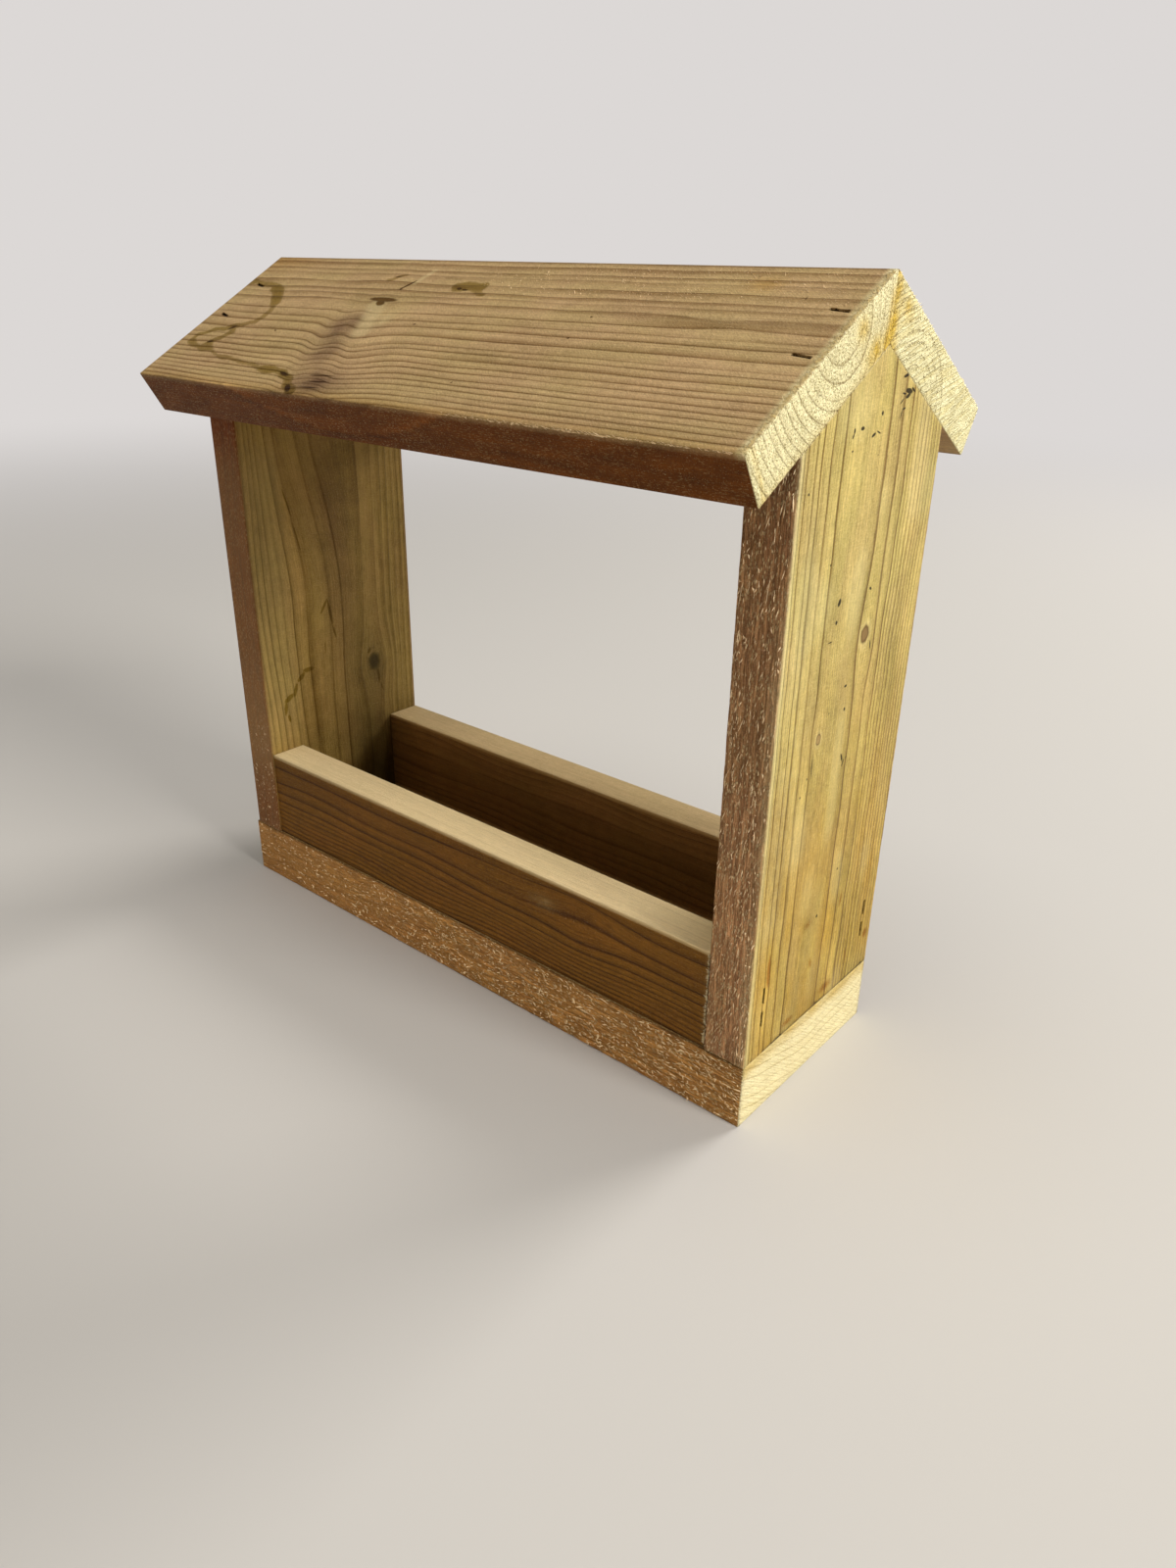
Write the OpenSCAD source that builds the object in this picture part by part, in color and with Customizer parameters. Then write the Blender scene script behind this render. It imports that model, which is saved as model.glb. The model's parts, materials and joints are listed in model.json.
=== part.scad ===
// Open-sided bird feeder: seven boards held together with wire staples.
// X runs along the ridge, -Y is the front and Z = 0 is the underside of the base.
// The origin is under the middle of the base. All sizes are in millimetres.

/* [Base] */
// Thickness of the base
base_t = 29; // [16:0.5:34]
// How far the base stands out past the left end panel
base_over_left = 2; // [0:0.5:40]
// How far the base stands out past the right end panel
base_over_right = 0; // [0:0.5:40]
// How far the base stands out past the end panels' front and back edges
base_over_edges = 0; // [0:0.5:30]

/* [End panels] */
// Width of both end panels, front to back
panel_w = 100; // [84:1:130]
// Thickness of both end panels
panel_t = 19; // [12:0.5:30]
// Height of both end panels at the peak
panel_peak_h = 260; // [180:1:400]

/* [Rails] */
// Length of both rails, which is the clear space between the end panels
rail_l = 278; // [150:1:500]
// Height of both rails
rail_h = 45; // [32:0.5:90]
// Thickness of both rails
rail_t = 19; // [10:0.5:28]
// Set-back of the front rail from the front edges of the end panels
front_rail_in = 1; // [0:0.5:6]
// Set-back of the back rail from the back edges of the end panels
back_rail_in = 0; // [0:0.5:6]

/* [Roof] */
// Slope of both roof boards, in degrees
roof_pitch = 30.5; // [20:0.5:45]
// Width of each roof board over its top face, from the ridge to the eave
roof_w = 94; // [84:1:150]
// Thickness of both roof boards
roof_t = 19; // [10:0.5:28]
// How far the roof stands out past the left end panel
roof_over_left = 2; // [0:0.5:40]
// How far the roof stands out past the right end panel
roof_over_right = 0; // [0:0.5:40]

/* [Staples] */
// Width of a staple over its crown
crown_w = 6.4; // [5:0.1:9]
// Width of the staple wire, seen from above the crown
wire_w = 1.2; // [0.8:0.05:1.6]
// Thickness of the staple wire, seen from the side
wire_t = 1; // [0.8:0.05:1.4]
// Height of a staple from the top of its crown to its points
staple_h = 40; // [36:1:50]
// Length of the sharpened end of each leg
point_l = 1.6; // [0.5:0.1:3]
// Depth of the crown's top below the face of the wood
crown_sink = 1.2; // [0.4:0.1:2.5]
// Room left at each end of a crown by the driver blade
slot_end_gap = 0.6; // [0.2:0.1:1.5]
// Room left along each side of a crown by the driver blade
slot_side_gap = 0.15; // [0.05:0.05:0.5]

/* [Staple places] */
// Distance up the slope from an end panel's edge to the lower roof staples
roof_staple_up = 10.5; // [4:0.5:16]
// Distance along the slope between the lower and the upper roof staples
roof_staple_pitch = 24; // [14:0.5:28]
// Turn of the left roof staples on the face of the wood, right end down the slope, in degrees
left_staple_turn = 15; // [0:1:20]
// Turn of the right roof staples on the face of the wood, right end down the slope, in degrees
right_staple_turn = 8; // [0:1:20]
// Height of the front rail's staple pairs above the middle of the rail
front_pair_up = 1; // [-4:0.5:5]
// Height of the back rail's staple pairs above the middle of the rail
back_pair_up = 4; // [-4:0.5:5]
// Distance between the two staples of a rail pair
rail_staple_pitch = 11; // [10:0.5:13]
// Distance from the inner face of a rail to the base staples beside it
base_staple_in = 6; // [3:0.5:10]

/* [Hidden] */
// Lengths and places along X, and the base's width, with the origin in the middle of the base
house_l = rail_l + 2 * panel_t;
base_l = house_l + base_over_left + base_over_right;
base_w = panel_w + 2 * base_over_edges;
roof_l = house_l + roof_over_left + roof_over_right;
house_left_x = -base_l / 2 + base_over_left;
house_right_x = house_left_x + house_l;
roof_left_x = house_left_x - roof_over_left;

// Places along Y of the rails' outer faces
front_rail_y = -panel_w / 2 + front_rail_in;
back_rail_y = panel_w / 2 - back_rail_in;

// Heights, and the run and drop of the roof from the ridge to the eave
panel_side_h = panel_peak_h - panel_w / 2 * tan(roof_pitch);
roof_under_z = base_t + panel_peak_h;
ridge_z = roof_under_z + roof_t / cos(roof_pitch);
eave_run = roof_w * cos(roof_pitch);
eave_drop = roof_w * sin(roof_pitch);

// The front roof staples stand this far outside the middle of the panel, and the back
// ones this far inside it, so that the legs of the two upper staples pass each other
stagger = (crown_w - wire_t) / 4;

// How far the cut for a driven slot reaches above the face of the wood
cut_over = 1;

// Every staple's end, side of the house and place in its pair
ends = [["left", -1], ["right", 1]];
sides = [["front", -1], ["back", 1]];
rows = [["upper", 1], ["lower", 0]];
roof_staples = [
    for (s = sides, e = ends, r = rows) [str("roof_staple_", s[0], "_", e[0], "_", r[0]), s[1], e[1], r[1]]
];
rail_staples = [
    for (s = sides, e = ends, r = rows) [str("rail_staple_", s[0], "_", e[0], "_", r[0]), s[1], e[1], r[1]]
];
base_staples = [
    for (s = sides, e = ends) [str("base_staple_", s[0], "_", e[0]), s[1], e[1], 0]
];
boards = [
    "base", "end_panel_left", "end_panel_right", "front_rail", "back_rail", "roof_front", "roof_back"
];

// Middle of an end panel's thickness, along X
function panel_mid_x(end) =
    end < 0 ? house_left_x + panel_t / 2 : house_right_x - panel_t / 2;

// Outer face of an end panel, along X
function panel_face_x(end) =
    end < 0 ? house_left_x : house_right_x;

// Middle of a rail's thickness, along Y
function rail_mid_y(side) =
    side < 0 ? front_rail_y + rail_t / 2 : back_rail_y - rail_t / 2;

// Distance down the slope from the ridge to a roof staple
function roof_staple_down(row) =
    panel_w / 2 / cos(roof_pitch) - roof_staple_up - row * roof_staple_pitch;

// Height of a rail staple
function rail_staple_z(side, row) =
    base_t + rail_h / 2 + (side < 0 ? front_pair_up : back_pair_up) + (row - 0.5) * rail_staple_pitch;

// A staple lies in its own frame: the face of the wood at Z = 0, the crown along X, the legs down
module staple() {
    half = crown_w / 2;
    color("silver")
        translate([0, 0, -crown_sink])
            rotate([90, 0, 0])
                linear_extrude(wire_w, center = true)
                    polygon([
                        [-half, 0],
                        [half, 0],
                        [half, point_l - staple_h],
                        [half - wire_t / 2, -staple_h],
                        [half - wire_t, point_l - staple_h],
                        [half - wire_t, -wire_t],
                        [wire_t - half, -wire_t],
                        [wire_t - half, point_l - staple_h],
                        [wire_t / 2 - half, -staple_h],
                        [-half, point_l - staple_h]
                    ]);
}

// What a driven staple takes out of the wood: its own shape, and the slot of the driver blade
module staple_cut() {
    slot_l = crown_w + 2 * slot_end_gap;
    slot_w = wire_w + 2 * slot_side_gap;
    staple();
    translate([-slot_l / 2, -slot_w / 2, -crown_sink])
        cube([slot_l, slot_w, crown_sink + cut_over]);
}

// Puts a roof staple's frame on the top face of its roof board
module on_roof(s) {
    down = roof_staple_down(s[3]);
    turn = s[2] < 0 ? left_staple_turn : right_staple_turn;
    translate([
        panel_mid_x(s[2]) - s[1] * s[2] * stagger,
        s[1] * down * cos(roof_pitch),
        ridge_z - down * sin(roof_pitch)
    ])
        rotate([-s[1] * roof_pitch, 0, 0])
            rotate([0, 0, s[1] * turn])
                children();
}

// Puts a rail staple's frame on the outer face of its end panel, with the crown upright
module on_panel(s) {
    translate([panel_face_x(s[2]), rail_mid_y(s[1]), rail_staple_z(s[1], s[3])])
        rotate([0, s[2] * 90, 0])
            children();
}

// Puts a base staple's frame on the underside of the base, with the legs up
module on_underside(s) {
    inner_y = abs(rail_mid_y(s[1])) - rail_t / 2;
    translate([panel_mid_x(s[2]), s[1] * (inner_y - base_staple_in), 0])
        rotate([180, 0, 0])
            children();
}

// The cuts of all the staples, taken out of every board that they meet
module all_staple_cuts() {
    for (s = roof_staples) on_roof(s) staple_cut();
    for (s = rail_staples) on_panel(s) staple_cut();
    for (s = base_staples) on_underside(s) staple_cut();
}

module roof_staple(s) {
    on_roof(s) staple();
}

module rail_staple(s) {
    on_panel(s) staple();
}

module base_staple(s) {
    on_underside(s) staple();
}

module base() {
    color("burlywood")
        difference() {
            translate([-base_l / 2, -base_w / 2, 0])
                cube([base_l, base_w, base_t]);
            all_staple_cuts();
        }
}

// The outline in Y and Z of an end panel, which stands on the base and ends under the roof
module panel_outline() {
    polygon([
        [-panel_w / 2, 0],
        [panel_w / 2, 0],
        [panel_w / 2, panel_side_h],
        [0, panel_peak_h],
        [-panel_w / 2, panel_side_h]
    ]);
}

module end_panel(left_x) {
    color("darkkhaki")
        difference() {
            translate([left_x, 0, base_t])
                rotate([90, 0, 90])
                    linear_extrude(panel_t)
                        panel_outline();
            all_staple_cuts();
        }
}

module end_panel_left() {
    end_panel(house_left_x);
}

module end_panel_right() {
    end_panel(house_right_x - panel_t);
}

module rail(front_y) {
    color("tan")
        difference() {
            translate([house_left_x + panel_t, front_y, base_t])
                cube([rail_l, rail_t, rail_h]);
            all_staple_cuts();
        }
}

module front_rail() {
    rail(front_rail_y);
}

module back_rail() {
    rail(back_rail_y - rail_t);
}

// The outline in Y and Z of the back roof board: upright mitre at the ridge, square eave
module roof_outline() {
    polygon([
        [0, roof_under_z],
        [eave_run - roof_t * sin(roof_pitch), ridge_z - eave_drop - roof_t * cos(roof_pitch)],
        [eave_run, ridge_z - eave_drop],
        [0, ridge_z]
    ]);
}

module roof_board(turned) {
    color("peru")
        difference() {
            translate([roof_left_x, 0, 0])
                rotate([90, 0, 90])
                    linear_extrude(roof_l)
                        mirror([turned, 0, 0])
                            roof_outline();
            all_staple_cuts();
        }
}

module roof_front() {
    roof_board(1);
}

module roof_back() {
    roof_board(0);
}

base();
end_panel_left();
end_panel_right();
front_rail();
back_rail();
roof_front();
roof_back();
for (s = roof_staples) roof_staple(s);
for (s = rail_staples) rail_staple(s);
for (s = base_staples) base_staple(s);
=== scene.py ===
"""Looks of an open-sided wooden bird feeder: sawn boards with grain, knots, stains and torn fibres."""

import json
import math

import bpy
import numpy as np
from mathutils import Matrix, Vector

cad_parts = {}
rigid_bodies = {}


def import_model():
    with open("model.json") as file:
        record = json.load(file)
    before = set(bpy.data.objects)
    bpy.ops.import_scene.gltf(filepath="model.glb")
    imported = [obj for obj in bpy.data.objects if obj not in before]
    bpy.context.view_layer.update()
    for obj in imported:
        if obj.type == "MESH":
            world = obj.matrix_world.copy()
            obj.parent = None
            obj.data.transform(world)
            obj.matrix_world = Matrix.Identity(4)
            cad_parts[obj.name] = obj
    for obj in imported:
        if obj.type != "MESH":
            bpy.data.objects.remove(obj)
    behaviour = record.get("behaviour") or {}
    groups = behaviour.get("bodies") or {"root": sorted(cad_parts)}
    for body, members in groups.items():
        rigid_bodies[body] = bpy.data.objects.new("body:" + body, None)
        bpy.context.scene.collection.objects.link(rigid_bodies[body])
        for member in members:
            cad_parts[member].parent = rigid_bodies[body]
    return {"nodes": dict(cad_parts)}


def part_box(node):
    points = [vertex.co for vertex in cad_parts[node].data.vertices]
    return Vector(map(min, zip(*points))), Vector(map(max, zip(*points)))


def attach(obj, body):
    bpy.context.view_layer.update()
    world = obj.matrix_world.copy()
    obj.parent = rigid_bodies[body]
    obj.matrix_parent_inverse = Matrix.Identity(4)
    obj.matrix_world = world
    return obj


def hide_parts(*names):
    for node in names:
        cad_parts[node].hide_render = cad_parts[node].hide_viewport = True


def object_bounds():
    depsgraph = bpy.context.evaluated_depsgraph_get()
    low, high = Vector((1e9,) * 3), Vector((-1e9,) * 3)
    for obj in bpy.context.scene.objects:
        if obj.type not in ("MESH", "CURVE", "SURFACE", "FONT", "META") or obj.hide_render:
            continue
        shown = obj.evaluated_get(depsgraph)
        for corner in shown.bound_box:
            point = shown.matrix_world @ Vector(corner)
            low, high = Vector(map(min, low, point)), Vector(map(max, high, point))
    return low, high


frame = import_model()
cad_box = [list(corner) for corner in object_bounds()]
MM = 0.001
PITCH = math.radians(30.5)
COS, SIN, TAN = math.cos(PITCH), math.sin(PITCH), math.tan(PITCH)


def box_mm(node):
    low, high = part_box(node)
    return np.array(low) * 1000, np.array(high) * 1000


# Small maths

def rise(x, start, end):
    """0 before start, 1 after end, smooth between; start may be the larger."""
    t = np.clip((x - start) / (end - start), 0, 1)
    return t * t * (3 - 2 * t)


def ripple(seed, period, *coords):
    """A seeded smooth wobble of about unit size over one or more coordinates."""
    about_a_turn = 6.28
    dice = np.random.default_rng(seed)
    total = 0
    for _ in range(6):
        phase = dice.uniform(0, about_a_turn)
        for c, p in zip(coords, np.atleast_1d(period)):
            phase += c * about_a_turn / p * dice.uniform(0.5, 1.6) * dice.choice((-1, 1))
        total += np.sin(phase)
    return total / 1.7


def mottle(seed, x, y):
    """Seeded patchy noise from 0 to 1 over two coordinates, one patch per unit."""
    rows, columns = 61, 67
    table = np.random.default_rng(seed).random((rows, columns))
    x, y = np.broadcast_arrays(np.asarray(x, float), y)
    xi, yi = np.floor(x).astype(int), np.floor(y).astype(int)
    fx, fy = rise(x - xi, 0, 1), rise(y - yi, 0, 1)

    def along(column):
        return table[xi % rows, column % columns] * (1 - fx) + table[(xi + 1) % rows, column % columns] * fx

    return along(yi) * (1 - fy) + along(yi + 1) * fy


def spot(x, y, x0, y0, rx, ry, turn=0):
    """A soft oval spot, 1 in the middle."""
    c, s = math.cos(math.radians(turn)), math.sin(math.radians(turn))
    dx, dy = (x - x0) * c + (y - y0) * s, (y - y0) * c - (x - x0) * s
    return np.exp(-((dx / rx) ** 2 + (dy / ry) ** 2))


def line(x, y, points, width, soft):
    """1 on a polyline of that half width, fading to 0 over soft beyond it."""
    best = np.full(np.shape(x), 1e9)
    for (ax, ay), (bx, by) in zip(points, points[1:]):
        dx, dy = bx - ax, by - ay
        t = np.clip(((x - ax) * dx + (y - ay) * dy) / (dx * dx + dy * dy), 0, 1)
        best = np.minimum(best, np.hypot(x - ax - t * dx, y - ay - t * dy))
    return 1 - rise(best, width, width + soft)


def bulge(flat, across, along, reach, width, force):
    """Bends the grain round a knot; across and along are the distances from its heart."""
    return flat - across * np.exp(-(along / reach) ** 2) * np.exp(-(across / width) ** 2) * force


def rings(across, depth, plus, minus, pith, fall=4.5):
    """Growth ring number from the places where rings meet the face on each side of the pith.

    pith is how far the pith lies above the face, or below it where negative.
    fall is the ring width inside the first ring.
    """
    plus, minus = np.array(plus, float), np.array(minus, float)
    n = min(len(plus), len(minus))
    known = np.concatenate([[0], minus[:n]])
    same = np.concatenate([[0], plus[:n]])
    left = np.interp(-across, known, same) + np.maximum(-across - known[-1], 0) * (same[-1] / known[-1])
    off = np.where(across >= 0, across, left)
    down = pith + depth if pith >= 0 else -pith - depth
    radius = np.hypot(off, down)
    marks = np.hypot(plus, abs(pith))
    gap = marks[-1] - marks[-2]
    number = np.interp(radius, marks, np.arange(len(marks)) + 1)
    number += np.maximum(radius - marks[-1], 0) / gap
    return np.maximum(number - np.maximum(marks[0] - radius, 0) / fall, 0.12)


def unit(vectors):
    return vectors / np.linalg.norm(vectors, axis=1)[:, None]


def shown(through):
    """1 on a board's shown face, 0 inside and on the other faces."""
    return 1 - rise(through, 0.1, 0.8)


def far_side(through, thickness):
    """1 on the face that is opposite the shown one."""
    return rise(through, thickness - 0.8, thickness - 0.2)


def close(gap):
    """1 within 0.4 mm of a long edge, 0 from 0.9 mm on."""
    return rise(gap, 0.9, 0.4)


def at_ends(along, length):
    return np.maximum(rise(length - along, 0.7, 0.1), rise(along, 0.7, 0.1))


# Boards

EASE = 0.5


def grid_lines(length, step, extra):
    count = max(2, round((length - 2 * EASE) / step))
    inner = np.linspace(EASE, length - EASE, count + 1)
    if len(extra):
        inner = inner[np.min(np.abs(inner[:, None] - np.array(extra)), axis=1) > 0.45 * step]
    near = np.array([0, 0.3 * EASE])
    return np.sort(np.concatenate([near, inner, length - near, extra]))


def block(size, step, creases):
    """A closed block of quads with eased arrises, in board millimetres: along, across, through."""
    lines = [grid_lines(size[n], step[n], creases if n == 1 else ()) for n in range(3)]
    shape = [len(t) for t in lines]
    index = np.indices(shape)
    shell = np.zeros(shape, bool)
    for n in range(3):
        shell |= (index[n] == 0) | (index[n] == shape[n] - 1)
    ids = np.full(shape, -1)
    ids[shell] = np.arange(shell.sum())
    co = np.stack([lines[n][index[n][shell]] for n in range(3)], 1)
    quads = []
    for axis in range(3):
        for end in (0, -1):
            g = np.take(ids, end, axis=axis)
            q = np.stack([g[:-1, :-1], g[1:, :-1], g[1:, 1:], g[:-1, 1:]], -1).reshape(-1, 4)
            quads.append(q[:, ::-1] if (end == 0) != (axis == 1) else q)
    inner = np.clip(co, EASE, np.array(size) - EASE)
    co = inner + unit(co - inner) * EASE
    return co, np.concatenate(quads)


def new_mesh(name, co, faces):
    """A new object from a list of points in metres and a list of faces."""
    mesh = bpy.data.meshes.new(name)
    mesh.from_pydata(co, [], faces)
    mesh.update()
    thing = bpy.data.objects.new(name, mesh)
    bpy.context.scene.collection.objects.link(thing)
    return thing


class Board:
    """A board in its own millimetres.

    They run along the grain, across its width from a corner, and down from its shown face.
    """

    def __init__(self, node, slot, origin, along, across, through, size, shape="plain"):
        self.node, self.slot, self.shape = node, slot, shape
        self.origin = np.array(origin, float)
        self.axes = np.array([along, across, through], float)
        self.size = size

    def world(self, local):
        return (self.origin + local @ self.axes) * MM

    def on_face(self, along, across):
        """A place on the shown face, in metres of the frame."""
        return self.world(np.array([along, across, 0]))

    def start(self, through):
        """Where the board starts across its width, at each depth: the mitre of a roof board."""
        return through * TAN if self.shape == "mitred" else through * 0

    def top(self, across):
        """Where the board ends along its length, at each place across it: the gable of an end panel."""
        return self.size[0] - np.abs(across - self.size[1] / 2) * TAN * (self.shape == "gabled")

    def make(self, step, relief=None, cuts=()):
        """Builds the mesh, with points about a step apart, and cuts the staples' slots into it."""
        co, quads = block(self.size, step, [self.size[1] / 2] if self.shape == "gabled" else ())
        if relief is not None:
            co = relief(co)
        start = self.start(co[:, 2])
        co[:, 1] = start + co[:, 1] * (self.size[1] - start) / self.size[1]
        co[:, 0] = co[:, 0] * self.top(co[:, 1]) / self.size[0]
        if np.linalg.det(self.axes) < 0:
            quads = quads[:, ::-1]
        thing = new_mesh(self.node + "_board", self.world(co).tolist(), quads.tolist())
        for cut in cuts:
            tool = thing.modifiers.new("cut", "BOOLEAN")
            tool.operation = "DIFFERENCE"
            tool.solver = "EXACT"
            tool.object = cut
        if cuts:
            bpy.context.view_layer.update()
            graph = bpy.context.evaluated_depsgraph_get()
            mesh = bpy.data.meshes.new_from_object(thing.evaluated_get(graph))
            thing.modifiers.clear()
            thing.data = mesh
        thing.data.shade_smooth()
        thing.data.set_sharp_from_angle(angle=math.radians(42))
        self.thing = thing
        self.paint("place", *self.points())
        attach(thing, "root")
        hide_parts(self.node)
        return self.points()

    def slot_shade(self):
        """Painted shade: nearly 1 at the bottom of the staples' slots, the only points well inside the
        board.
        """
        l, a, b = self.points()
        gaps = [l, self.top(a) - l, a - self.start(b), self.size[1] - a, b, self.size[2] - b]
        return 0.97 * (np.minimum.reduce(gaps) > 0.9)

    def points(self):
        """Where the mesh's points are, along, across and through the board."""
        vertices = self.thing.data.vertices
        co = np.empty(len(vertices) * 3)
        vertices.foreach_get("co", co)
        return ((co.reshape(-1, 3) / MM - self.origin) @ self.axes.T).T

    def paint(self, name, *values):
        """Stores one number, or three, per vertex for the material to read."""
        mesh = self.thing.data
        one = len(values) == 1
        layer = mesh.attributes.new(name, "FLOAT" if one else "FLOAT_VECTOR", "POINT")
        packed = np.stack([np.broadcast_to(v, len(mesh.vertices)) for v in values], 1)
        layer.data.foreach_set("value" if one else "vector", packed.astype(np.float32).ravel())

    def kinds(self, sawn_low=0, sawn_high=0):
        """How far each point is on end grain and on a long edge, and how rough sawn it is."""
        l, a, _ = self.points()
        end = 1 - rise(np.minimum(l, self.top(a) - l), 0.1, 0.5)
        low, high = 1 - rise(a, 0.35, 0.8), 1 - rise(self.size[1] - a, 0.35, 0.8)
        return end, np.maximum(low, high), np.maximum(low * sawn_low, high * sawn_high)

    def dress(self, ring, flat, run, marks, tint, kind):
        """Stores what wood() reads.

        flat is the place across the grain, and run is where along it the board's own grain starts.
        """
        l, _, b = self.points()
        stain, dirt, tone_and_shade = marks
        self.paint("ring", ring)
        self.paint("flow", l + run, flat, b)
        # dirt also takes the painted shade at the bottom of the staples' slots
        self.paint("marks", stain, np.maximum(dirt, self.slot_shade()), tone_and_shade)
        self.paint("tint", *tint)
        self.paint("kind", *kind)


# Node materials

def rgb(code):
    """A #rrggbb colour as the linear colour that shows as it."""
    parts = [int(code[n:n + 2], 16) / 255 for n in (1, 3, 5)]
    return [p / 12.92 if p <= 0.04045 else ((p + 0.055) / 1.055) ** 2.4 for p in parts] + [1]


class Nodes:
    """The nodes of a material or world. Most methods add some and give back their output socket.

    stain and bleach change self.colour instead.
    """

    def __init__(self, owner):
        self.owner = owner
        owner.use_nodes = True
        self.tree = owner.node_tree
        self.tree.nodes.clear()
        self.colour = None

    def add(self, kind, inputs=(), **settings):
        node = self.tree.nodes.new("ShaderNode" + kind)
        for key, value in settings.items():
            setattr(node, key, value)
        for key, value in dict(inputs).items():
            self.put(node.inputs[key], value)
        return node

    def put(self, socket, value):
        """Links a node's output to the socket, or sets a number, vector or #rrggbb colour on it."""
        if isinstance(value, bpy.types.NodeSocket):
            self.tree.links.new(value, socket)
        else:
            socket.default_value = rgb(value) if isinstance(value, str) else value

    def math(self, operation, a, b=0, c=0, clamp=False):
        return self.add("Math", {0: a, 1: b, 2: c}, operation=operation, use_clamp=clamp).outputs[0]

    def times(self, a, b, clamp=False):
        return self.math("MULTIPLY", a, b, clamp=clamp)

    def gain(self, value, by, base=1, clamp=False):
        """value times by, plus base."""
        return self.math("MULTIPLY_ADD", value, by, base, clamp)

    def scale(self, vector, factors):
        return self.add("VectorMath", {0: vector, 1: factors}, operation="MULTIPLY").outputs[0]

    def length(self, vector):
        return self.add("VectorMath", {0: vector}, operation="LENGTH").outputs["Value"]

    def turned(self, vector, degrees, axis):
        inputs = {"Vector": vector, "Angle": math.radians(degrees)}
        return self.add("VectorRotate", inputs, rotation_type=axis).outputs[0]

    def mix(self, factor, a, b, blend="MIX"):
        return self.add("Mix", {0: factor, 6: a, 7: b}, data_type="RGBA", blend_type=blend).outputs[2]

    def stain(self, tint, where):
        """Multiplies self.colour by tint where that is 1."""
        self.colour = self.mix(where, self.colour, self.mix(1, self.colour, tint, "MULTIPLY"))

    def bleach(self, tint, where, force):
        """Screens self.colour with tint, by that force, where that is 1."""
        self.colour = self.mix(where, self.colour, self.mix(force, self.colour, tint, "SCREEN"))

    def noise(self, vector, scale, detail, rough=0.5, distort=0):
        return self.add("TexNoise", {"Vector": vector, "Scale": scale, "Detail": detail,
                                     "Roughness": rough, "Distortion": distort}).outputs[0]

    def ramp(self, factor, stops):
        """A ramp of (place, value) or (place, colour) stops."""
        node = self.add("ValToRGB", {0: factor})
        elements = node.color_ramp.elements
        while len(elements) < len(stops):
            elements.new(0.5)
        for element, (place, _) in zip(elements, stops):
            element.position = place
        for element, (_, value) in zip(elements, stops):
            element.color = rgb(value) if isinstance(value, str) else [value] * 3 + [1]
        return node.outputs[0]

    def between(self, value, low, high):
        """0 at low and 1 at high."""
        return self.add("MapRange", {0: value, 1: low, 2: high}, interpolation_type="SMOOTHSTEP").outputs[0]

    def read(self, name, output="Vector"):
        return self.add("Attribute", attribute_name=name).outputs[output]

    def in_object(self):
        return self.add("TexCoord").outputs["Object"]

    def split(self, vector):
        return self.add("SeparateXYZ", {0: vector}).outputs[:]

    def bump(self, height, depth):
        return self.add("Bump", {"Height": height, "Distance": depth, "Strength": 1}).outputs[0]

    def finish(self, colour, rough, bump=None, metal=0, specular=0.35):
        inputs = {"Base Color": colour, "Roughness": rough, "Metallic": metal,
                  "Specular IOR Level": specular}
        if bump is not None:
            inputs["Normal"] = bump
        return self.show(self.add("BsdfPrincipled", inputs).outputs[0])

    def show(self, shader, kind="Material"):
        self.add("Output" + kind, {0: shader})
        return self.owner


def material_nodes(name):
    return Nodes(bpy.data.materials.new(name))


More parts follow.
